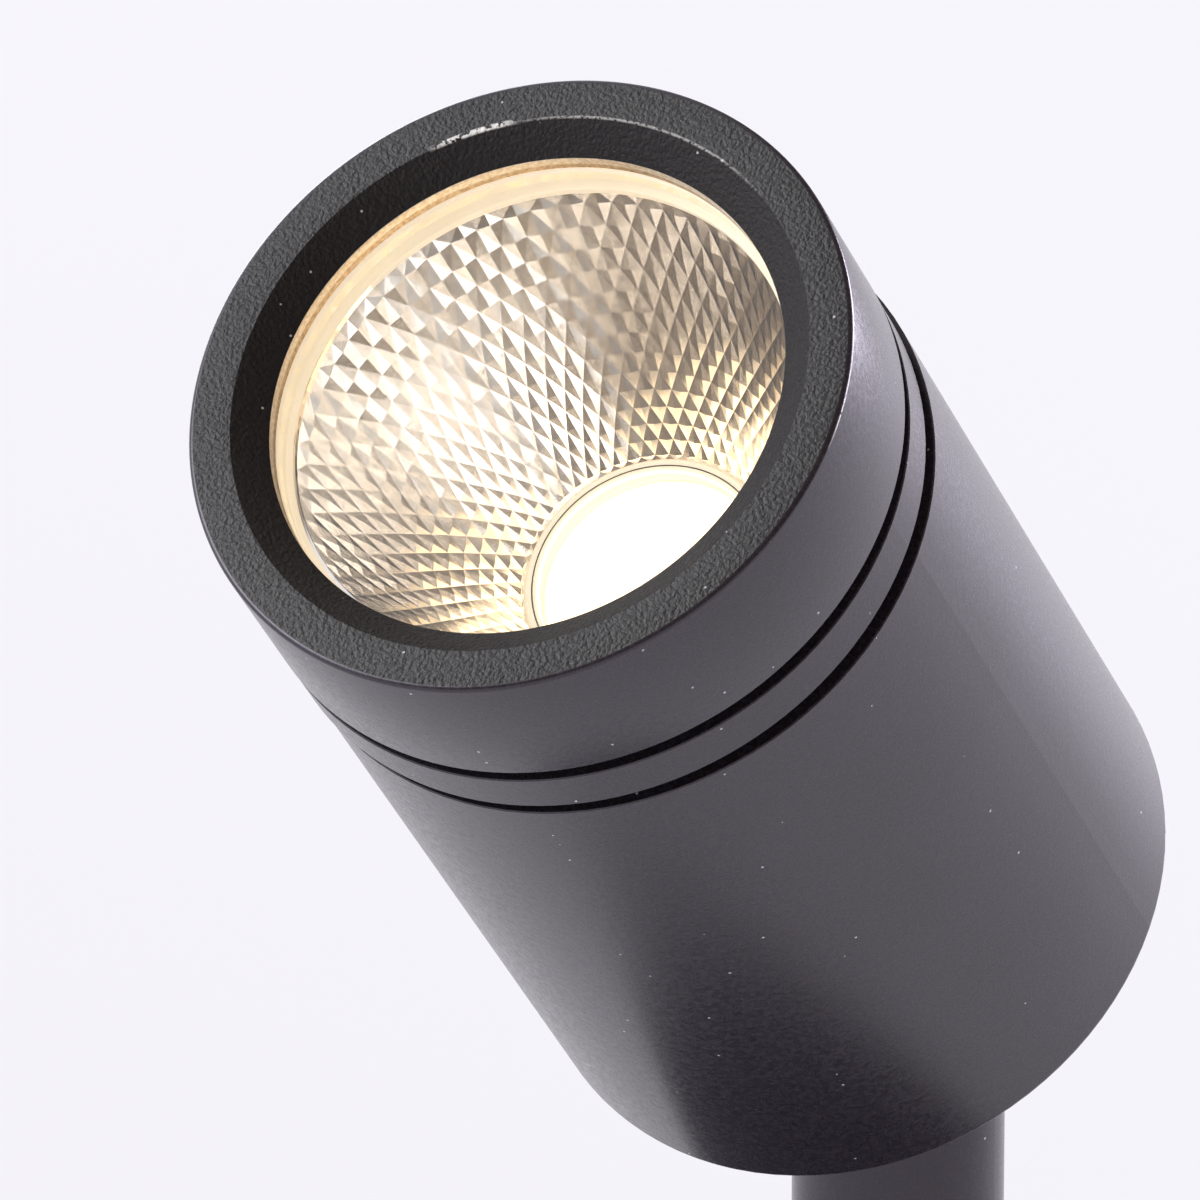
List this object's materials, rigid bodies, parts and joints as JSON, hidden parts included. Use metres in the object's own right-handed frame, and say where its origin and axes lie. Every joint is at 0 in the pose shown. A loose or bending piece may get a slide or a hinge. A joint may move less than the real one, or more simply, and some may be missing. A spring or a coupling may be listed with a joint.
{
  "type": "outdoor wall spotlight",
  "caption": "Round wall spotlight: a cylindrical head with a deep diamond-cut reflector tilts on a knuckle, on a short stem that swivels in a round wall canopy.",
  "frame": {"origin": "centre of the base's mounting face, where the stem's axis meets the wall", "axes": "+Z out of the wall along the stem; at rest the head tilts 45 degrees from +Z towards -Y; +X along the tilt joint's axis and through the two wall holes"},
  "size_m": [0.09, 0.1458, 0.1955],
  "materials": {
    "coat": "fine sand-texture powder coat, charcoal black",
    "glass": "clear toughened glass",
    "clear_silicone": "translucent silicone",
    "bright_reflector": "diamond-cut, vacuum-metallised",
    "white_plastic": "white moulded plastic",
    "board_aluminium": "white-masked aluminium board",
    "phosphor": null,
    "thermal_pad": "soft grey pad",
    "raw_aluminium": "turned",
    "spring_steel": "blued spring steel",
    "black_rubber": "matt black rubber",
    "circuit_green": "green circuit laminate",
    "winding_tape": "yellow tape over a winding",
    "capacitor_sleeve": "dark shrink sleeve",
    "chip_black": "moulded black",
    "red_wire": "silicone wire",
    "black_wire": "silicone wire",
    "plated_steel": "zinc-plated",
    "black_steel": "black oxide",
    "nylon": "natural nylon",
    "brass": "plain brass"
  },
  "bodies": {
    "base": {"canopy": "coat", "wall_gasket": "black_rubber", "mounting_plate": "plated_steel", "canopy_screws": "plated_steel", "stop_pin": "plated_steel", "terminal_block": "white_plastic", "terminal_screws": "brass", "earth_screw": "brass", "earth_washer": "plated_steel", "entry_grommet": "black_rubber", "base_cable": "black_rubber"},
    "stem": {"stem_knuckle": "coat", "pivot_screw": "black_steel", "pivot_washer": "spring_steel", "joint_seal": "black_rubber", "stem_tube": "coat", "stem_set_screw": "plated_steel", "stem_foot": "coat", "swivel_seal": "black_rubber", "friction_washer": "nylon", "stop_washer": "plated_steel", "swivel_nut": "plated_steel", "stem_cable": "black_rubber"},
    "head": {"front_ring": "coat", "spacer_ring": "coat", "barrel": "coat", "head_knuckle": "coat", "cover_glass": "glass", "glass_seal": "clear_silicone", "reflector": "bright_reflector", "led_holder": "white_plastic", "driver_sleeve": "white_plastic", "led_board": "board_aluminium", "led_emitter": "phosphor", "thermal_pad": "thermal_pad", "heat_spreader": "raw_aluminium", "spreader_retainer": "spring_steel", "front_groove_seal": "black_rubber", "rear_groove_seal": "black_rubber", "knuckle_seal": "black_rubber", "head_cable": "black_rubber", "driver_circuit": "circuit_green", "driver_transformer": "winding_tape", "driver_capacitor": "capacitor_sleeve", "driver_chips": "chip_black", "led_lead_positive": "red_wire", "led_lead_negative": "black_wire", "holder_screws": "plated_steel", "knuckle_nut": "plated_steel"}
  },
  "joints": [
    {"name": "stem_swivel", "type": "hinge", "parent": "base", "child": "stem", "pos_m": [0, 0, 0.03], "axis": [0, 0, 1], "range_deg": [-165, 165]},
    {"name": "head_tilt", "type": "hinge", "parent": "stem", "child": "head", "pos_m": [0, 0, 0.095], "axis": [1, 0, 0], "range_deg": [-45, 45]}
  ]
}
